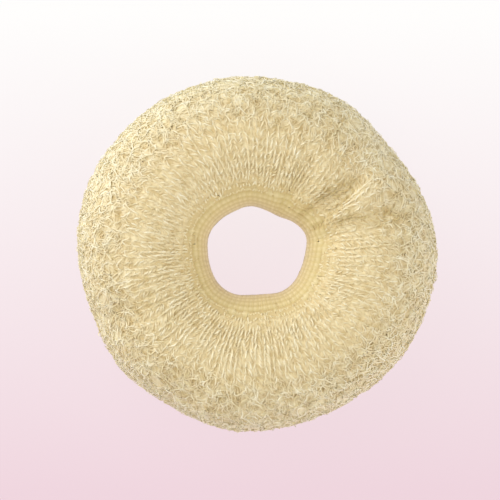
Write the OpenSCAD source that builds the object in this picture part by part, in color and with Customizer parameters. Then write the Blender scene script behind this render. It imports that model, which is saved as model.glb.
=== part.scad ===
// Hair donut: a crinkled knitted net, rolled on itself like a sock into a soft ring.
// It lies flat. +Z runs up through the hole and z = 0 is the surface that it rests on.
// The origin is below the middle of its box, and all lengths are in millimetres.

/* [Ring] */
// Mean diameter across the ring
ring_d = 90; // [76:1:110]
// Mean diameter of the hole that the ponytail is pulled through
hole_d = 23; // [16:0.5:30]
// Height of the roll where it lies
roll_h = 33.5; // [26:0.5:42]
// Width of the band that the roll's own weight presses flat
rest_w = 8; // [4:0.5:12]

/* [Net] */
// Thickness of the last turn of net
net_t = 2; // [1.2:0.1:3]
// Thickness of the net where it thins out at its hems
hem_t = 0.9; // [0.6:0.1:1.2]
// Air between one turn of net and the next
turn_gap = 0.3; // [0.2:0.05:0.5]
// Width of the lap where the outer hem covers the turn below it
hem_lap = 9; // [6:0.5:12]
// Length over which the net dips to pass under the outer hem
hem_dip = 12; // [8:0.5:16]
// Distance from the flat band to the lap, towards the hole
hem_clear = 4; // [2:0.5:6]

/* [Folds] */
// Depth of the deepest fold in the face
fold_depth = 1.8; // [0:0.1:3]

/* [Hidden] */

// Directions run anticlockwise round the hole from +X, in degrees. Places on the
// roll's section run from 0 at the hole, over the crown at 90 and the outer rim at
// 180, to 270 where it rests.

// The ring's shape, one row each 20 degrees from direction 0, as shares of half of
// ring_d, half of hole_d and roll_h.
SHAPE = [
    // outer, hole, height
    [1.011, 1.007, 0.990], [0.980, 1.073, 0.985], [0.952, 0.985, 0.970],
    [0.980, 0.885, 0.990], [0.983, 0.918, 1.000], [1.000, 1.007, 1.005],
    [1.014, 1.018, 1.000], [1.022, 1.073, 0.995], [1.033, 1.117, 1.000],
    [1.017, 1.073, 1.005], [0.997, 1.062, 1.000], [1.014, 1.073, 0.985],
    [0.996, 1.018, 0.995], [1.014, 0.918, 1.000], [0.994, 0.896, 1.005],
    [0.985, 0.962, 1.000], [0.999, 0.985, 0.995], [1.002, 0.973, 1.000]
];
OUTER = [for (row = SHAPE) row[0]];
HOLE = [for (row = SHAPE) row[1]];
HEIGHT = [for (row = SHAPE) row[2]];

// The folds in the face: the direction where each starts near the hole and where it
// ends near the rim, half its width in degrees, its depth as a share of fold_depth
// (a ridge is negative), and where it starts and ends on the section.
FOLDS = [
    // near, far, spread, depth, start, end
    [18, 33, 9, -0.45, 25, 145],
    [28, 46, 10, 1.00, 15, 155],
    [12, 14, 10, 0.75, 15, 145],
    [358, 352, 9, -0.30, 30, 120],
    [62, 60, 10, 0.35, 10, 110],
    [150, 158, 11, 0.30, 60, 170],
    [205, 202, 10, 0.35, 70, 180],
    [243, 240, 10, 0.35, 60, 180],
    [300, 305, 9, 0.30, 50, 150]
];

DIRECTIONS = 72;
QUARTER_STEPS = 6;
SIDE_STEPS = 5;
HOLE_STEPS = 2;
LAP_STEPS = 2;
ROUND_STEPS = LAP_STEPS + 3 + SIDE_STEPS + 2 * QUARTER_STEPS + HOLE_STEPS;

function ease(t) = let (u = min(max(t, 0), 1)) u * u * (3 - 2 * u);

// The value at a direction of a smooth closed curve through one column of SHAPE
function share(column, d) =
    let (n = len(column), x = d * n / 360, i = floor(x), t = x - i)
    let (v = [for (k = [-1:2]) column[(i + k + n) % n]])
    v[1] + t / 2 * (v[2] - v[0]
        + t * (2 * v[0] - 5 * v[1] + 4 * v[2] - v[3]
        + t * (3 * (v[1] - v[2]) + v[3] - v[0])));

function sum(v, i = 0) = i < len(v) ? v[i] + sum(v, i + 1) : 0;

// How deep all folds together are at a direction and a place on the section
function fold(d, s) = fold_depth * sum([
    for (row = FOLDS)
        let (near = row[0], far = row[1], spread = row[2])
        let (depth = row[3], start = row[4], end = row[5])
        let (along = (s - start) / (end - start))
        let (line = near + (far - near) * along)
        let (across = ((d - line + 540) % 360 - 180) / spread)
        abs(across) < 1 && along > 0 && along < 1
            ? depth * pow(1 - across * across, 2) * ease(3 * along) * ease(3 - 3 * along)
            : 0
]);

// Half the roll's width, and half the angle of the flat band it rests on
function half_w(d) = (ring_d * share(OUTER, d) - hole_d * share(HOLE, d)) / 4;
function rest_a(d) = asin(rest_w / 2 / half_w(d));

// The angle on the section that a length along the net takes up
function net_a(length, d) = length / half_w(d) * 180 / PI;

// The point at a depth below the roll's surface
function at(d, s, depth) =
    let (mid_r = half_w(d) + hole_d / 2 * share(HOLE, d))
    let (half_h = roll_h * share(HEIGHT, d) / (1 + cos(rest_a(d))))
    let (sunk = depth + fold(d, s))
    let (r = mid_r - (half_w(d) - sunk) * cos(s))
    let (z = half_h * cos(rest_a(d)) + (half_h - sunk) * sin(s))
    [r * cos(d), r * sin(d), max(z, depth)];

// Places on the section from the outer hem back round to it, and on under the lap
function places(d) =
    let (lap = net_a(hem_lap, d), rest = rest_a(d))
    let (hem = 270 + rest + net_a(hem_clear, d) + lap)
    concat(
        [for (k = [0:LAP_STEPS]) hem - lap * k / LAP_STEPS],
        [270 + rest, 270],
        [for (k = [0:SIDE_STEPS]) 270 - rest - (90 - rest) * k / SIDE_STEPS],
        [for (k = [1:2 * QUARTER_STEPS]) 180 - 90 * k / QUARTER_STEPS],
        [for (k = [1:HOLE_STEPS]) (hem - 360) * k / HOLE_STEPS],
        [for (k = [1:LAP_STEPS]) hem - 360 - lap * k / LAP_STEPS]
    );

// Thickness and depth of the last turn, p degrees back from its outer hem
function net_thick(p, lap) = p < 360
    ? hem_t + (net_t - hem_t) * ease(p / lap)
    : net_t + (hem_t - net_t) * ease((p - 360) / lap);
function net_top(p, lap, dip) = p < 360
    ? (hem_t + turn_gap) * ease(1 - (360 - p) / dip)
    : net_thick(p - 360, lap) + turn_gap;

// Depth of the roll below the last turn and below its lapped end
function core_top(p, lap, dip) = turn_gap + (p < lap
    ? net_top(p + 360, lap, dip) + net_thick(p + 360, lap)
    : net_top(p, lap, dip) + net_thick(p, lap)
        + (hem_t + turn_gap) * ease(1 - (p - lap) / dip));

function turn_section(d) =
    let (s = places(d), lap = net_a(hem_lap, d), dip = net_a(hem_dip, d), last = len(s) - 1)
    concat(
        [for (k = [0:last]) at(d, s[k], net_top(s[0] - s[k], lap, dip))],
        [for (k = [last:-1:0])
            at(d, s[k], net_top(s[0] - s[k], lap, dip) + net_thick(s[0] - s[k], lap))]
    );

function core_section(d) =
    let (s = places(d), lap = net_a(hem_lap, d), dip = net_a(hem_dip, d))
    [for (k = [0:ROUND_STEPS - 1]) at(d, s[k], core_top(s[0] - s[k], lap, dip))];

TURN = [for (i = [0:DIRECTIONS - 1]) turn_section(360 * i / DIRECTIONS)];
CORE = [for (i = [0:DIRECTIONS - 1]) core_section(360 * i / DIRECTIONS)];

// What brings the middle of the ring's box over the origin
function middle(v) = (min(v) + max(v)) / 2;
SHIFT = -[for (axis = [0:1]) middle([for (section = TURN) for (p = section) p[axis]])];

// A closed skin through sections that stand in a ring
module ring_skin(sections) {
    n = len(sections);
    m = len(sections[0]);
    polyhedron(
        points = [for (section = sections) for (p = section) p],
        faces = [
            for (i = [0:n - 1]) for (j = [0:m - 1])
                let (a = i * m, b = (i + 1) % n * m, k = (j + 1) % m)
                each [[a + j, a + k, b + k], [a + j, b + k, b + j]]
        ]
    );
}

// The turns of net that are rolled up inside, close together
module wound_core() {
    color("#cdb27c") translate(SHIFT) ring_skin(CORE);
}

// The last turn of net, once round the roll, with its outer hem lapped underneath
module outer_turn() {
    color("#e6d6a6") translate(SHIFT) ring_skin(TURN);
}

wound_core();
outer_turn();
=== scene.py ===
import math

import bpy
import numpy as np
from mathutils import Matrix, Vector
from mathutils.bvhtree import BVHTree


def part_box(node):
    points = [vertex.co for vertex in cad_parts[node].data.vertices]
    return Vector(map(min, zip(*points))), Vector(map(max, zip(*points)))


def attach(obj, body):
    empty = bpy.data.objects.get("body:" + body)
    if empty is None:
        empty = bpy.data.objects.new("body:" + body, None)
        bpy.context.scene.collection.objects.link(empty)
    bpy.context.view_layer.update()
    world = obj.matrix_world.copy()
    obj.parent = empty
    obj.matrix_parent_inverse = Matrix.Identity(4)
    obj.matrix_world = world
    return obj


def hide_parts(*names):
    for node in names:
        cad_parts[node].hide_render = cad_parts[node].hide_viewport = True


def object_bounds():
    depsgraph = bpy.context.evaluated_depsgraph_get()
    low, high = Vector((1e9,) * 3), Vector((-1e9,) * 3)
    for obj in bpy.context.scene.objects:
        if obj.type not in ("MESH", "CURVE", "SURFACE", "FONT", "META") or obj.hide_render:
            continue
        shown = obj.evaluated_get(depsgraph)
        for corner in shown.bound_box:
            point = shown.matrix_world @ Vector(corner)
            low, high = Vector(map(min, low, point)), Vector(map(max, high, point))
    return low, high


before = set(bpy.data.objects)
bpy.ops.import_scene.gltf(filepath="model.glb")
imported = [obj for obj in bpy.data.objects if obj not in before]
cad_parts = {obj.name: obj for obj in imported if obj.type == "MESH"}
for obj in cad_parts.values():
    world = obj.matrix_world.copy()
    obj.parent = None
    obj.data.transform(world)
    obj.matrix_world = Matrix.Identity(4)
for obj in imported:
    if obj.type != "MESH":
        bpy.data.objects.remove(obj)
cad_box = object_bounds()

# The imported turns. The net tube is rolled on itself like a sock, and its inner turns lie so close
# together that they show only as a golden body behind the open net. They are the same crinkled
# nylon as the rest, and the roll's own tension holds them.

# How many directions round the hole and places on the section the skin is read at, and how fine a
# detail of it is kept, in cycles a turn
DIRECTIONS = 360
PLACES = 240
ROUND_DETAIL = 34
ACROSS_DETAIL = 13
# Metres from the middle of the roll's section to where the rays start, outside the roll
CAST_FROM = 0.024


def ease(x):
    """0 below 0, 1 above 1, and a smooth rise between."""
    x = np.clip(x, 0, 1)
    return x * x * (3 - 2 * x)


def low_pass(values, axis, cycles):
    """The values along a closed axis without what repeats more often than about `cycles`."""
    count = values.shape[axis]
    fade = np.exp(-0.5 * (np.arange(count // 2 + 1) / cycles) ** 2)
    shape = [1] * values.ndim
    shape[axis] = len(fade)
    spectrum = np.fft.rfft(values, axis=axis) * fade.reshape(shape)
    return np.fft.irfft(spectrum, count, axis=axis)


def read_grid(grid, direction, place):
    """A closed grid's values between its points, at a direction and a place in turns."""
    x, y = (direction % 1) * DIRECTIONS, (place % 1) * PLACES
    i, j = np.floor(x).astype(int), np.floor(y).astype(int)
    fx, fy = x - i, y - j
    if grid.ndim == 3:
        fx, fy = fx[..., None], fy[..., None]
    i, j = i % DIRECTIONS, j % PLACES
    i2, j2 = (i + 1) % DIRECTIONS, (j + 1) % PLACES
    return ((1 - fx) * ((1 - fy) * grid[i, j] + fy * grid[i, j2])
            + fx * ((1 - fy) * grid[i2, j] + fy * grid[i2, j2]))


class Roll:
    """The skin of a CAD node, by direction round the hole and by place on the roll's section, both
    in turns. A place of 0 is in the hole, 0.25 on the crown, 0.5 on the rim and 0.75 underneath."""

    def __init__(self, node):
        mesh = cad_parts[node].data
        skin = BVHTree.FromPolygons([v.co for v in mesh.vertices], [p.vertices for p in mesh.polygons])
        low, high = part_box(node)
        middle_z = (low.z + high.z) / 2
        direction = np.arange(DIRECTIONS) * 2 * math.pi / DIRECTIONS
        place = np.arange(PLACES) * 2 * math.pi / PLACES
        middle = np.zeros(DIRECTIONS)
        reach = np.zeros((DIRECTIONS, PLACES))
        axis = Vector((0, 0, middle_z))
        for i, d in enumerate(direction):
            out = Vector((math.cos(d), math.sin(d), 0))
            hole_r = skin.ray_cast(axis, out)[3]
            rim_r = high.x * 2 - skin.ray_cast(axis + out * high.x * 2, -out)[3]
            middle[i] = (hole_r + rim_r) / 2
            centre = axis + out * middle[i]
            for j, s in enumerate(place):
                away = -out * math.cos(s) + Vector((0, 0, math.sin(s)))
                reach[i, j] = CAST_FROM - skin.ray_cast(centre + away * CAST_FROM, -away)[3]
        middle = low_pass(middle, 0, ROUND_DETAIL)
        reach = low_pass(low_pass(reach, 0, ROUND_DETAIL), 1, ACROSS_DETAIL)
        radius = middle[:, None] - reach * np.cos(place)
        height = np.maximum(middle_z + reach * np.sin(place), low.z)
        self.points = np.stack([radius * np.cos(direction)[:, None],
                                radius * np.sin(direction)[:, None], height], axis=-1)
        along = np.roll(self.points, -1, 0) - np.roll(self.points, 1, 0)
        over = np.roll(self.points, -1, 1) - np.roll(self.points, 1, 1)
        normals = np.cross(over, along)
        self.normals = normals / np.linalg.norm(normals, axis=-1, keepdims=True)

    def at(self, direction, place, lift=0.0):
        """Points that stand `lift` metres off the skin, and the skin's normals there."""
        normal = read_grid(self.normals, direction, place)
        normal /= np.linalg.norm(normal, axis=-1, keepdims=True)
        return read_grid(self.points, direction, place) + normal * np.asarray(lift)[..., None], normal


def tube_quads(rows, steps, sides):
    """Quads of closed tubes of `steps` by `sides` points, with a map that lays each out as a strip."""
    row, i, j = np.meshgrid(np.arange(rows), np.arange(steps), np.arange(sides), indexing="ij")
    quads, corners = [], []
    for step, side in ((0, 0), (1, 0), (1, 1), (0, 1)):
        quads.append((row * steps + (i + step) % steps) * sides + (j + side) % sides)
        corners.append(np.stack([(i + step) / steps, (row * sides + j + side) / (rows * sides)], axis=-1))
    return np.stack(quads, axis=-1).reshape(-1, 4), np.stack(corners, axis=-2).reshape(-1, 2)


def make_piece(name, points, quads, corners, **shades):
    """A smooth mesh piece that rides on the ring, with named shades at its points."""
    mesh = bpy.data.meshes.new(name)
    mesh.vertices.add(len(points))
    mesh.vertices.foreach_set("co", points.astype(np.float32).ravel())
    mesh.loops.add(quads.size)
    mesh.loops.foreach_set("vertex_index", quads.astype(np.int32).ravel())
    mesh.polygons.add(len(quads))
    mesh.polygons.foreach_set("loop_start", np.arange(0, quads.size, 4, dtype=np.int32))
    mesh.polygons.foreach_set("loop_total", np.full(len(quads), 4, np.int32))
    mesh.polygons.foreach_set("use_smooth", np.ones(len(quads), bool))
    mesh.uv_layers.new(name="OFBake").uv.foreach_set("vector", corners.astype(np.float32).ravel())
    mesh.update(calc_edges=True)
    for shade, values in shades.items():
        attribute = mesh.attributes.new(shade, "FLOAT", "POINT")
        attribute.data.foreach_set("value", values.astype(np.float32).ravel())
    piece = bpy.data.objects.new(name, mesh)
    bpy.context.scene.collection.objects.link(piece)
    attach(piece, "root")
    return piece


def operator(operation):
    """An operator of Value that adds a Math node, and its reflected form."""

    def plain(self, other):
        return self.finish.node("Math", {"operation": operation}, self, other)

    def reflected(self, other):
        return self.finish.node("Math", {"operation": operation}, other, self)

    return plain, reflected


class Value:
    """A shader socket. Arithmetic on it adds Math nodes."""

    def __init__(self, finish, socket):
        self.finish = finish
        self.socket = socket

    __add__, __radd__ = operator("ADD")
    __sub__, __rsub__ = operator("SUBTRACT")
    __mul__, __rmul__ = operator("MULTIPLY")
    __truediv__, __rtruediv__ = operator("DIVIDE")
    __pow__, __rpow__ = operator("POWER")


class Finish:
    """A material with one main shader, whose other nodes all come from node()."""

    def __init__(self, name, **constants):
        self.material = bpy.data.materials.new(name)
        self.material.use_nodes = True
        self.tree = self.material.node_tree
        self.shader = self.tree.nodes["Principled BSDF"]
        self.set(**constants)

    def node(self, kind, settings, *values, output=0, **named):
        """A new node with its settings and its inputs, by order or by name. Gives its output."""
        made = self.tree.nodes.new("ShaderNode" + kind)
        for key, setting in settings.items():
            setattr(made, key, setting)
        for key, value in [*enumerate(values), *named.items()]:
            self.feed(made.inputs[key if isinstance(key, int) else key.replace("_", " ")], value)
        return Value(self, made.outputs[output])

    def feed(self, socket, value):
        if isinstance(value, Value):
            self.tree.links.new(value.socket, socket)
        else:
            socket.default_value = value

    def set(self, **sockets):
        """Constants and nodes for the main shader's own sockets."""
        for socket, value in sockets.items():
            self.feed(self.shader.inputs[socket.replace("_", " ")], value)

    def shade(self, name):
        """One of the named shades that make_piece gives a piece."""
        return self.node("Attribute", {"attribute_name": name}, output="Fac")

    def mix(self, factor, a, b):
        """A mix of two colours. The Mix node's colour sockets are inputs 0, 6 and 7 and output 2."""
        made = self.tree.nodes.new("ShaderNodeMix")
        made.data_type = "RGBA"
        for socket, value in zip((0, 6, 7), (factor, a, b)):
            self.feed(made.inputs[socket], (*value, 1) if isinstance(value, tuple) else value)
        return Value(self, made.outputs[2])


# Where the net's look changes on the section, in turns, each with the width over which it changes
RIM_HALF = 0.20
RIM_BLEND = 0.10
DRAWN_EDGE = 0.125
DRAWN_BLEND = 0.035
GOLD_EDGE = 0.085
GOLD_BLEND = 0.10
WILD_FROM = 0.25
WILD_RISE = 0.11
WILD_TO = 0.66
WILD_FALL = 0.12
EDGE_PLACE = 0.48
EDGE_HALF = 0.10
EDGE_BLEND = 0.08
# How much of the hole's gold is lost past the hole, and then on the rim
GOLD_LOST = 0.5
RIM_GOLD_LOST = 0.65


def from_hole(place):
    """How far a place on the section is from the middle of the hole side, in turns."""
    return np.abs((place + 0.5) % 1 - 0.5)


def near_rim(place):
    """1 on the outer half of the roll, where the net is spread out and light comes through it."""
    return ease((RIM_HALF - np.abs(place % 1 - 0.5)) / RIM_BLEND)


def drawn_in(place, edge=DRAWN_EDGE):
    """1 in the hole, where the net is drawn in and its courses stand out as rows."""
    return 1 - ease((from_hole(place) - edge) / DRAWN_BLEND)


def golden(place):
    """1 in the hole, where light has passed many turns of net, and least on the open rim."""
    crown = 1 - GOLD_LOST * ease((from_hole(place) - GOLD_EDGE) / GOLD_BLEND)
    return crown * (1 - RIM_GOLD_LOST * near_rim(place))


def wildness(place):
    """0 where the net lies in even columns, 1 where it is spread and crinkled."""
    p = place % 1
    return ease((p - WILD_FROM) / WILD_RISE) * (1 - ease((p - WILD_TO) / WILD_FALL))


def at_edge(place):
    """1 along the very rim, where the net is spread the widest, and where painted sheen and light through
    the net make it palest.
    """
    return ease((EDGE_HALF - np.abs(place % 1 - EDGE_PLACE)) / EDGE_BLEND)


CREASES = [
    # near, far and spread in degrees, depth in metres, pull as a share, start and end in degrees
    [26.5, 31.5, 4.0, -0.0007, 0.45, 30, 140],
    [23, 41, 3.2, 0.0013, 0.25, 20, 125],
    [37, 47, 7.0, -0.0011, 0.00, 75, 170],
    [42.5, 36.5, 3.2, 0.0008, 0.20, 20, 110],
    [25, 13, 3.2, 0.0010, 0.25, 25, 140],
    [62, 60, 6, 0.0003, 0.20, 15, 100],
    [205, 202, 6, 0.0003, 0.20, 60, 150],
]
# How fast a crease grows at its start and fades at its end, how much of its slant the net beside
# it takes on, and how many times its spread that reaches
CREASE_GROWS = 2.5
CREASE_FADES = 4
BEND = 0.35
BEND_REACH = 4


def crease(direction, place):
    """How deep the creases in the face are, and how many turns they draw the net round by."""
    depth, drawn = np.zeros(np.shape(direction)), np.zeros(np.shape(direction))
    for near, far, spread, sink, pull, start, end in CREASES:
        along = ((place % 1) * 360 - start) / (end - start)
        line = near + (far - near) * along
        across = ((direction * 360 - line + 180) % 360 - 180) / spread
        fades = ease(CREASE_GROWS * along) * ease(CREASE_FADES * (1 - along))
        fades = fades * ((along > 0) & (along < 1))
        hill = np.exp(-across ** 2) * fades
        depth += sink * hill
        drawn -= pull * across * spread / 360 * hill
        drawn += BEND * (line - (near + far) / 2) / 360 * np.exp(-(across / BEND_REACH) ** 2) * fades
    return depth, drawn


SEED = 70
rng = np.random.default_rng(SEED)


def soft_field(round_detail, across_detail):
    """A seeded random closed grid with a spread of 1."""
    field = rng.normal(size=(DIRECTIONS, PLACES))
    field = low_pass(low_pass(field, 0, round_detail), 1, across_detail)
    return field / field.std()


turn = Roll("outer_turn")

# The small clumps that the loops gather in: their finest and coarsest detail in cycles a turn, their
# height in metres, how much painted light lightens their tops and painted shade darkens their hollows
# and makes them more golden, and their share where the net is even
CLUMP_FINE = (70, 42)
CLUMP_COARSE = (18, 11)
CLUMP = 0.00011
CLUMP_SHADING_TONE = 0.25
CLUMP_SHADING_GOLD = 0.15
EVEN_CLUMP = 0.65
clumps = soft_field(*CLUMP_FINE)
clumps -= low_pass(low_pass(clumps, 0, CLUMP_COARSE[0]), 1, CLUMP_COARSE[1])
clumps /= clumps.std()


def clump_at(direction, place, drawn, wild):
    """How high the clumps stand, in units of CLUMP. There are none in the rows of the hole."""
    return read_grid(clumps, direction, place) * (1 - drawn) * (EVEN_CLUMP + (1 - EVEN_CLUMP) * wild)


PACKED_ROUND = 200
PACKED_ACROSS = 130
# Depth below the skin in metres: on the crown, in the hole and on the rim, and what is added along
# the very rim and at the border where the rows in the hole open into loops. The border's place and
# width are in turns. LOWEST_BODY is how high the body stays off the floor
PACKED_DEPTH = 0.00046
DRAWN_DEPTH = 0.00040
RIM_DEPTH = 0.00037
EDGE_DEPTH = -0.00008
BORDER_DEPTH = -0.00014
BORDER_PLACE = 0.13
BORDER_HALF = 0.05
BORDER_BLEND = 0.03
LOWEST_BODY = 0.0009
# Painted sheen along the very rim: how much lighter the body is painted there, and how far its colour
# goes towards the pale colour of that sheen
BODY_RIM_SHEEN_TONE = 0.32
RIM_SHEEN_SHARE = 0.42
direction, place = np.meshgrid(np.arange(PACKED_ROUND) / PACKED_ROUND,
                               np.arange(PACKED_ACROSS) / PACKED_ACROSS, indexing="ij")
drawn = drawn_in(place)
depth = PACKED_DEPTH + (DRAWN_DEPTH - PACKED_DEPTH) * drawn + EDGE_DEPTH * at_edge(place)
depth += (RIM_DEPTH - PACKED_DEPTH) * near_rim(place) + crease(direction, place)[0]
depth += BORDER_DEPTH * ease((BORDER_HALF - np.abs(from_hole(place) - BORDER_PLACE)) / BORDER_BLEND)
clump = clump_at(direction, place, drawn, wildness(place))
points, _ = turn.at(direction, place, CLUMP * clump - depth)
points[..., 2] = np.maximum(points[..., 2], LOWEST_BODY)
# The body's tone and gold hold painted light and shade on the clumps and painted sheen along the rim
packed_turns = make_piece("packed_turns", points.reshape(-1, 3),
                          *tube_quads(1, PACKED_ROUND, PACKED_ACROSS),
                          gold=golden(place) - CLUMP_SHADING_GOLD * clump,
                          tone=CLUMP_SHADING_TONE * clump + BODY_RIM_SHEEN_TONE * at_edge(place),
                          pale=RIM_SHEEN_SHARE * at_edge(place))
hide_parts("wound_core")

# The colour of the painted sheen along the very rim
RIM_SHEEN_COLOUR = (0.96, 0.92, 0.72)


def nylon_colour(finish, tone, straw, golden_straw):
    """Dark to light by the tone, straw to golden by the piece's gold, and then, by its pale shade, towards
    the painted sheen of the very rim. The straw and golden colours are each a pair, dark and light."""
    yellow = finish.mix(finish.shade("gold"), finish.mix(tone, *straw), finish.mix(tone, *golden_straw))
    return finish.mix(finish.shade("pale"), yellow, RIM_SHEEN_COLOUR)


# The streaks run round the section: the middle of the section in metres from the hole's axis and
# from the floor, how many streaks there are each way, and how strongly they show
SECTION_RADIUS = 0.0282
SECTION_HEIGHT = 0.0168
STREAKS_ROUND = 24
STREAKS_ACROSS = 7
STREAK_CONTRAST = 4
STREAK_SHIFT = 1.5
STREAK_RELIEF = 0.0003
BODY_STRAW = ((0.78, 0.67, 0.39), (0.96, 0.87, 0.59))
BODY_GOLDEN = ((0.70, 0.52, 0.23), (0.93, 0.77, 0.43))
packed = Finish("packed_nylon", Roughness=0.6)
coordinates = packed.node("TexCoord", {}, output="Object")
x, y, z = (packed.node("SeparateXYZ", {}, coordinates, output=axis) for axis in ("X", "Y", "Z"))
radius = (x * x + y * y) ** 0.5
section_angle = packed.node("Math", {"operation": "ARCTAN2"}, radius - SECTION_RADIUS, z - SECTION_HEIGHT)
streak_place = packed.node("CombineXYZ", {}, x / radius * STREAKS_ROUND, y / radius * STREAKS_ROUND,
                           section_angle * STREAKS_ACROSS)
grain = packed.node("TexNoise", {"noise_dimensions": "3D"}, Vector=streak_place, Scale=1.0, Detail=3.0)
streaks = grain * STREAK_CONTRAST - STREAK_SHIFT + packed.shade("tone")
packed.set(Base_Color=nylon_colour(packed, streaks, BODY_STRAW, BODY_GOLDEN),
           Normal=packed.node("Bump", {}, Strength=0.5, Distance=STREAK_RELIEF, Height=grain))
packed_turns.data.materials.append(packed.material)

# The turns just below the last one. The last turn is open enough to show them: the same net again,
# with its courses between those of the one above, and more golden, because the light reaches them
# through it.

WALES = 70
COURSES = 52
COURSE = 1 / COURSES
# Metres round the roll's section
ROLL_ROUND = 0.105

# A loop: how far it leans in wales and slants, how far it reaches in courses, on the crown and on
# the rim, how it is staggered in courses, its depth in metres, the painted light in the middle of its
# legs and the painted shade at its ends, where it dives, and how its strand tapers and widens
LOOP_LEAN = 0.28
LOOP_SLANT = 0.06
LOOP_REACH = 0.40
RIM_REACH = 0.52
LOOP_STAGGER = 0.18
LOOP_DEPTH = 0.00020
LOOP_SHADING = 0.17
LOOP_TAPER = 0.55
EVEN_WIDTH = 0.05

# A row in the hole: its relief in metres, how much deeper, wider and thicker than a loop's strand it
# is, how sharply it ends, how the strand swells beside it, how dark its edges are in painted shade,
# how its loops show in painted light and shade, and how ragged its end is in turns and in cycles a turn
ROW_DEPTH = 0.00002
ROW_SINK = 0.4
ROW_WIDTH = 9.0
ROW_THICKNESS = 1.3
ROW_END = 16
ROW_EDGE = 0.9
ROW_EDGE_END = 3
ROW_SHADE = 1.1
ROW_LOOP_SHADING = 0.17
RAGGED = 0.009
RAGGED_DETAIL = (50, 8)

# The crinkle of the nylon, in metres along the skin and off it, with the share that is added at the
# very rim, and its share where the net is even. The strand's twist is in radians, and most of it is
# lost in the hole
CRINKLE = 0.00038
CRINKLES_PER_WALE = 3.6
CRINKLE_UP = 0.00006
EDGE_UP = 1.3
EVEN_CRINKLE = 0.16
TWIST = 0.25
TWIST_LOST = 0.95

# How the whole net has drifted, swayed and bunched, in metres, with the detail in cycles a turn, round
# the hole and round the section, and the shares of it where the net is even and in the hole
DRIFT_ROUND = 0.0007
DRIFT_ACROSS = 0.0005
DRIFT_UP = 0.00007
DRIFT_DETAIL = ((60, 22), (50, 22), (60, 25))
EVEN_DRIFT = 0.15
DRAWN_DRIFT = 0.02
SWAY = 0.0003
SWAY_DETAIL = (7, 5)
SLANT_DETAIL = (9, 6)
BUNCH = 0.00010
BUNCH_STEP = 2
EVEN_BUNCH_ROUND = 0.3
EVEN_BUNCH_ACROSS = 0.5

# Small openings that the strands are pushed away from. TINY is added to a distance in metres, so
# that nothing is divided by 0
TINY = 1e-5
OPENINGS = [
    # direction and place in degrees, radius and push in metres
    [20.5, 152, 0.0020, 0.0009], [15.0, 158, 0.0018, 0.0008], [33.8, 140, 0.0026, 0.0010],
    [27.0, 128, 0.0022, 0.0009], [24.0, 118, 0.0018, 0.0007], [160.0, 132, 0.0022, 0.0009],
    [196.0, 138, 0.0026, 0.0010], [201.0, 128, 0.0022, 0.0009], [186.0, 120, 0.0018, 0.0007],
    [118.0, 140, 0.0020, 0.0008], [232.0, 143, 0.0022, 0.0009], [285.0, 146, 0.0020, 0.0008],
    [310.0, 128, 0.0016, 0.0006], [86.0, 150, 0.0020, 0.0008], [52.0, 149, 0.0022, 0.0009],
]

# The tone along a strand: its middle, how much lighter painted sheen makes it along the very rim, its
# long and short runs of painted shine in cycles a wale and how they show, and its painted glints. As
# painted shade, a strand sunk in a crease is darker and more golden by these amounts a metre, and one
# raised on a ridge is lighter
MIDDLE_TONE = 0.5
RIM_SHEEN_TONE = 0.16
SHINE_TONE = 0.09
LONG_SHINE = 0.8
SHORT_SHINE = 3
DRAWN_SHINE_LOST = 0.5
WILD_TONE = 0.05
SPARKLE = 0.20
SPARKLE_FROM = 1.5
CREASE_SHADING_TONE = 500
CREASE_SHADE_GOLD = 600
WARMTH = 0.15
WARMTH_DETAIL = (22, 10)

# How high the strands stay off the floor past half their width, as a share of the net's depth, and
# the turn that lays a three-sided strip with a flat side up
FLOOR_SHARE = 0.6
FLAT_SIDE_UP = math.pi / 6


def strand_noise(courses, steps, cycles):
    """A seeded random run along each strand, three values a step, with a spread of 1."""
    run = low_pass(rng.normal(size=(courses, steps, 3)), 1, cycles)
    return run / run.std()


def push_open(u, v, ring_round):
    """Places in turns round the hole and round the section, pushed away from the small openings."""
    for at_direction, at_place, radius, push in OPENINGS:
        round_way = ((u - at_direction / 360 + 0.5) % 1 - 0.5) * ring_round
        across_way = ((v - at_place / 360 + 0.5) % 1 - 0.5) * ROLL_ROUND
        away = np.hypot(round_way, across_way) + TINY
        shove = push * np.exp(-(away / radius) ** 2) / away
        u = u + shove * round_way / ring_round
        v = v + shove * across_way / ROLL_ROUND
    return u, v


def flat_tubes(centre, normal, half_width, half_thickness, twist, angle):
    """Points round closed rows of centre points, at each angle. They lie flat but for their twist."""
    tangent = np.roll(centre, -1, 1) - np.roll(centre, 1, 1)
    tangent /= np.linalg.norm(tangent, axis=-1, keepdims=True)
    side = np.cross(tangent, normal)
    side /= np.linalg.norm(side, axis=-1, keepdims=True)
    up = np.cross(side, tangent)
    cos_twist, sin_twist = np.cos(twist)[..., None], np.sin(twist)[..., None]
    wide = half_width[..., None] * (side * cos_twist + up * sin_twist)
    thick = half_thickness[..., None] * (up * cos_twist - side * sin_twist)
    return centre[:, :, None] + np.cos(angle) * wide[:, :, None] + np.sin(angle) * thick[:, :, None]


bunches = [np.roll(clumps, -BUNCH_STEP, axis) - np.roll(clumps, BUNCH_STEP, axis) for axis in (0, 1)]
bunches = [field / field.std() for field in bunches]
sways = soft_field(*SWAY_DETAIL)
slants = soft_field(*SLANT_DETAIL)


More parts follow.
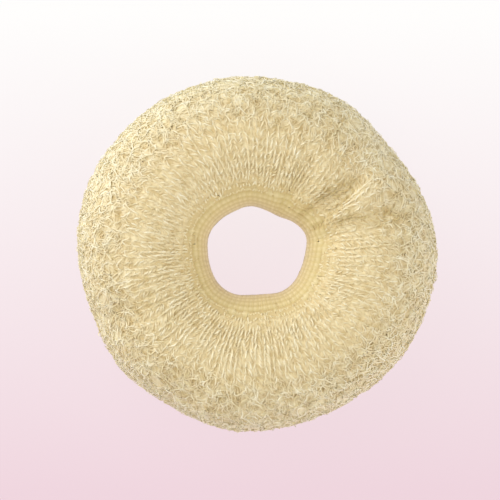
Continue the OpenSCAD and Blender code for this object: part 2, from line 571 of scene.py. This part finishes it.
class Net:
    """One turn of plain jersey knit on the roll. Each course is one strand that runs once round
    the ring, and its loops hang on those of the course before.

    depth, crown_depth and loose are metres below the skin, below it on the crown, and off it along
    the very rim. steps is points a wale, offset is in courses, drawn_to is the place where the rows
    end, and warm is how much more golden the even loops are."""

    def __init__(self, roll, depth, crown_depth, loose, steps, offset, drawn_to, warm):
        self.roll = roll
        self.depth = depth
        self.crown_depth = crown_depth
        self.loose = loose
        self.steps = steps
        self.offset = offset
        self.drawn_to = drawn_to
        self.warm = warm
        self.drift = [soft_field(*detail) for detail in DRIFT_DETAIL]
        self.warmth = soft_field(*WARMTH_DETAIL)
        self.ragged = soft_field(*RAGGED_DETAIL)

    def strands(self, name, first, last, half_w, half_t, sides):
        """A piece with the courses from `first` to `last`, as closed flat tubes."""
        # The plain knit. u is round the hole and v round the section, both in turns, and lift is off the
        # skin. drawn is 1 in the hole's rows, wild where the net is spread, and even in its columns
        courses = np.arange(first, last)[:, None] + self.offset
        t = np.tile(np.arange(self.steps) * 2 * math.pi / self.steps, WALES)
        wale = np.repeat(np.arange(WALES), self.steps) + t / (2 * math.pi)
        wale, places = np.broadcast_arrays(wale, courses * COURSE)
        slant = read_grid(slants, wale / WALES, places)
        ragged = RAGGED * read_grid(self.ragged, wale / WALES, places)
        drawn, wild = drawn_in(places + ragged, self.drawn_to), wildness(places)
        reach = LOOP_REACH * (1 - drawn) + (RIM_REACH - LOOP_REACH) * wild
        lean = LOOP_LEAN * np.sin(2 * t) / (2 * math.pi) + LOOP_SLANT * slant * np.cos(t)
        u = (wale + lean * (1 - drawn)) / WALES
        v = (courses + reach * np.cos(t)) * COURSE
        wild = wildness(v)
        even = (1 - drawn) * (1 - wild)
        lift = (drawn * (ROW_DEPTH + LOOP_DEPTH) - LOOP_DEPTH) * np.cos(2 * t)
        lift = lift - self.depth * (1 + ROW_SINK * drawn) - (self.crown_depth - self.depth) * even
        # What the crinkle, the drift, the bunches, the openings and the creases change in it
        crinkled = EVEN_CRINKLE * even + (1 - drawn) * wild
        drifted = DRAWN_DRIFT * drawn + EVEN_DRIFT * even + (1 - drawn) * wild
        v = v + LOOP_STAGGER * COURSE * strand_noise(*u.shape, WALES)[..., 0] * even
        run = strand_noise(*u.shape, WALES * CRINKLES_PER_WALE) * crinkled[..., None]
        round_drift, across_drift, up_drift = (read_grid(field, u, v) for field in self.drift)
        sway = read_grid(sways, u, v) * SWAY * (1 - drawn_in(v))
        ring_round = np.linalg.norm(self.roll.at(u, v)[0][..., :2], axis=-1) * 2 * math.pi
        u = u + (run[..., 0] * CRINKLE + round_drift * DRIFT_ROUND * drifted + sway) / ring_round
        v = v + (run[..., 1] * CRINKLE + across_drift * DRIFT_ACROSS * drifted) / ROLL_ROUND
        round_bunch, across_bunch = (read_grid(field, u, v) for field in bunches)
        u = u + round_bunch * BUNCH * (EVEN_BUNCH_ROUND * even + (1 - drawn) * wild) / ring_round
        v = v + across_bunch * BUNCH * (EVEN_BUNCH_ACROSS * even + (1 - drawn) * wild) / ROLL_ROUND
        u, v = push_open(u, v, ring_round)
        u = u + crease(u, v)[1]
        sunk = crease(u, v)[0]
        clump = clump_at(u, v, drawn, wild)
        lift = lift + run[..., 2] * CRINKLE_UP * (1 + EDGE_UP * at_edge(v)) + up_drift * DRIFT_UP * drifted
        lift = lift + CLUMP * clump + self.loose * at_edge(v) - sunk
        centre, normal = self.roll.at(u, v, lift)
        centre[..., 2] = np.maximum(centre[..., 2], half_w + self.depth * FLOOR_SHARE)
        # The strip that each strand is made of, which is wider and thicker in the hole's rows
        twist = TWIST * (1 - TWIST_LOST * drawn) * strand_noise(*u.shape, WALES)[..., 0]
        flat = drawn ** ROW_END
        width = 1 + (ROW_WIDTH - 1) * flat + ROW_EDGE * drawn ** ROW_EDGE_END * (1 - flat)
        width = half_w * (width + even * (EVEN_WIDTH - LOOP_TAPER * np.cos(2 * t)))
        thickness = half_t * (1 + (ROW_THICKNESS - 1) * flat)
        angle = (np.arange(sides) * 2 * math.pi / sides + (FLAT_SIDE_UP if sides == 3 else 0))[:, None]
        points = flat_tubes(centre, normal, width, thickness, twist, angle)
        # How light and how golden the strip is, with painted shine and glints, painted sheen along the
        # very rim and painted light and shade on the loops, the rows, the clumps and the creases
        long_shine = strand_noise(*u.shape, WALES * LONG_SHINE)[..., 0]
        short_shine = strand_noise(*u.shape, WALES * SHORT_SHINE)[..., 0]
        shine = (1 - DRAWN_SHINE_LOST * drawn) * long_shine + (1 - drawn) * short_shine
        tone = MIDDLE_TONE + SHINE_TONE * shine + CLUMP_SHADING_TONE * clump + RIM_SHEEN_TONE * at_edge(v)
        tone = tone - CREASE_SHADING_TONE * sunk - LOOP_SHADING * np.cos(2 * t) * even + ROW_LOOP_SHADING * np.cos(t) * flat
        tone = tone + (WILD_TONE + SPARKLE * np.maximum(shine - SPARKLE_FROM, 0)) * wild
        tone = tone[..., None] - ROW_SHADE * flat[..., None] * np.abs(np.cos(angle[:, 0]))
        gold = golden(v) + WARMTH * read_grid(self.warmth, u, v) * (1 - drawn) + self.warm * even
        gold = np.clip(gold + CREASE_SHADE_GOLD * np.maximum(sunk, 0) - CLUMP_SHADING_GOLD * clump, 0, 1)
        net = make_piece(name, points.reshape(-1, 3), *tube_quads(last - first, len(t), sides),
                         tone=np.clip(tone, 0, 1), gold=np.repeat(gold, sides),
                         pale=np.repeat(RIM_SHEEN_SHARE * at_edge(v), sides))
        # The edges that run along a strip stay sharp, on a four-sided or six-sided one every other
        ends = np.zeros(len(net.data.edges) * 2, np.int32)
        net.data.edges.foreach_get("vertices", ends)
        start, end = ends.reshape(-1, 2).T % sides
        net.data.edges.foreach_set("use_edge_sharp", (start == end) & ((sides == 3) | (start % 2 == 0)))
        return net


UNDER_STEPS = 12
UNDER_SIDES = 3
UNDER_WARM = 0.3
HALF_THICKNESS = 0.00008
UNDER_NETS = {
    # depth, depth on the crown and looseness at the very rim in metres, shift in courses
    "second": (0.00021, 0.00032, 0.00008, 0.5),
    "third": (0.00024, 0.00044, 0.0, 0.25),
    "fourth": (0.00028, 0.00048, 0.0, 0.75),
}
UNDER_BANDS = {
    # net, first course, last course, half width in metres
    "second_net_outside": ("second", 13, 39, 0.00012),
    "second_net_inside": ("second", 39, 65, 0.00018),
    "third_net": ("third", 8, 36, 0.00013),
    "fourth_net": ("fourth", 8, 36, 0.00015),
}
SHADED_STRAW = ((0.84, 0.71, 0.41), (0.99, 0.91, 0.65))
SHADED_GOLDEN = ((0.75, 0.59, 0.29), (0.88, 0.73, 0.43))
shaded = Finish("shaded_nylon", Roughness=0.5)
shaded.set(Base_Color=nylon_colour(shaded, shaded.shade("tone"), SHADED_STRAW, SHADED_GOLDEN))
under_nets = {name: Net(turn, depth, crown_depth, loose, UNDER_STEPS, offset, DRAWN_EDGE, UNDER_WARM)
              for name, (depth, crown_depth, loose, offset) in UNDER_NETS.items()}
for name, (net, first, last, half_w) in UNDER_BANDS.items():
    piece = under_nets[net].strands(name, first, last, half_w, HALF_THICKNESS, UNDER_SIDES)
    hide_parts("wound_core")
    piece.data.materials.append(shaded.material)

# The last turn of net. It is a plain jersey knit of crinkled flat nylon, 70 wales round the hole
# and 52 courses round the roll. Near the hole the net is drawn in, so that its courses stand out
# as rows. On the crown its loops lie in even columns, and towards the rim it is spread out.

LOOP_STEPS = 14
LAST_DEPTH = 0.00016
LAST_CROWN_DEPTH = 0.00020
LAST_LOOSE = 0.00015
LAST_DRAWN_EDGE = 0.105
BANDS = {
    # first course, last course, half width in metres, sides
    "net_hole_side": (47, 60, 0.00014, 4),
    "net_face": (8, 17, 0.00012, 3),
    "net_rim": (17, 33, 0.00015, 3),
    "net_underside": (33, 47, 0.00015, 3),
}
NYLON_STRAW = ((0.88, 0.77, 0.46), (1.0, 0.94, 0.71))
NYLON_GOLDEN = ((0.73, 0.59, 0.265), (0.97, 0.85, 0.56))
nylon = Finish("crinkled_nylon", Roughness=0.42, IOR=1.53)
nylon.set(Base_Color=nylon_colour(nylon, nylon.shade("tone"), NYLON_STRAW, NYLON_GOLDEN))
last_turn = Net(turn, LAST_DEPTH, LAST_CROWN_DEPTH, LAST_LOOSE, LOOP_STEPS, 0.0, LAST_DRAWN_EDGE, 0.0)
for name, (first, last, half_w, sides) in BANDS.items():
    piece = last_turn.strands(name, first, last, half_w, HALF_THICKNESS, sides)
    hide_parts("outer_turn")
    piece.data.materials.append(nylon.material)

# The hem. The free edge of the last turn is bound off in a flat cord of its own strands, and it lies
# low in the hole, where the roll's tension holds it against the turns below.

# The course that it lies on, its height off the skin and half its width and thickness in metres
HEM_COURSE = 47
HEM_RISE = 0.00015
HEM_HALF_WIDTH = 0.00007
HEM_HALF_THICKNESS = 0.00024
HEM_SIDES = 6
hem_net = Net(turn, -HEM_RISE, -HEM_RISE, 0.0, LOOP_STEPS, 0.5, LAST_DRAWN_EDGE, 0.0)
hem = hem_net.strands("outer_hem", HEM_COURSE, HEM_COURSE + 1,
                      HEM_HALF_WIDTH, HEM_HALF_THICKNESS, HEM_SIDES)
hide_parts("outer_turn")
hem.data.materials.append(nylon.material)

# The floor, the light and the camera. The ring lies on a pale floor that glows softly like a light
# table, between a strong soft box at the upper left and a weaker one at the lower right. The camera
# looks straight down on it.

FLOOR_HALF = 1.5
# The floor's colour and its glow go from the first to the second with y, by this share a metre
FLOOR_FADE = 8
FLOOR_COLOUR = ((0.05, 0.045, 0.05), (0.05, 0.05, 0.05))
FLOOR_GLOW = ((0.80, 0.61, 0.67), (0.93, 0.92, 0.91))
floor_mesh = bpy.data.meshes.new("floor")
floor_mesh.from_pydata([(-FLOOR_HALF, -FLOOR_HALF, 0), (FLOOR_HALF, -FLOOR_HALF, 0),
                        (FLOOR_HALF, FLOOR_HALF, 0), (-FLOOR_HALF, FLOOR_HALF, 0)], [], [(0, 1, 2, 3)])
floor = bpy.data.objects.new("floor", floor_mesh)
bpy.context.scene.collection.objects.link(floor)
paper = Finish("pale_paper", Roughness=0.9, Emission_Strength=1.0)
up_the_photo = paper.node("SeparateXYZ", {}, paper.node("TexCoord", {}, output="Object"), output="Y")
faded = up_the_photo * FLOOR_FADE + 0.5
paper.set(Base_Color=paper.mix(faded, *FLOOR_COLOUR), Emission_Color=paper.mix(faded, *FLOOR_GLOW))
floor_mesh.materials.append(paper.material)

SOFT_BOXES = {
    # place and side in metres, power in watts
    "left_box": ((-0.47, 0.30, 0.42), 1.0, 5.6),
    "right_box": ((0.45, -0.32, 0.44), 1.0, 3.3),
}
for name, (spot, side, power) in SOFT_BOXES.items():
    lamp = bpy.data.lights.new(name, "AREA")
    lamp.size = side
    lamp.energy = power
    box = bpy.data.objects.new(name, lamp)
    box.location = spot
    box.rotation_euler = (-Vector(spot)).to_track_quat("-Z", "Y").to_euler()
    bpy.context.scene.collection.objects.link(box)
ROOM_COLOUR = (1.0, 0.99, 0.99, 1)
ROOM_LIGHT = 0.365
world = bpy.data.worlds.new("studio")
world.use_nodes = True
world.node_tree.nodes["Background"].inputs["Color"].default_value = ROOM_COLOUR
world.node_tree.nodes["Background"].inputs["Strength"].default_value = ROOM_LIGHT
bpy.context.scene.world = world
bpy.context.scene.view_settings.view_transform = "Standard"

# The photo's side, and the ring's middle and width in it, in pixels
PHOTO_SIDE = 500
RING_CENTRE_X = 257.5
RING_CENTRE_Y = 254.0
RING_WIDTH = 359.5
CAMERA_HEIGHT = 0.75
low, high = cad_box
view_width = (high.x - low.x) * PHOTO_SIDE / RING_WIDTH
per_pixel = view_width / PHOTO_SIDE
camera_data = bpy.data.cameras.new("camera")
camera_data.lens = camera_data.sensor_width * (CAMERA_HEIGHT - (high.z + low.z) / 2) / view_width
camera = bpy.data.objects.new("camera", camera_data)
camera.location = ((PHOTO_SIDE / 2 - RING_CENTRE_X) * per_pixel,
                   (RING_CENTRE_Y - PHOTO_SIDE / 2) * per_pixel, CAMERA_HEIGHT)
bpy.context.scene.collection.objects.link(camera)
bpy.context.scene.camera = camera
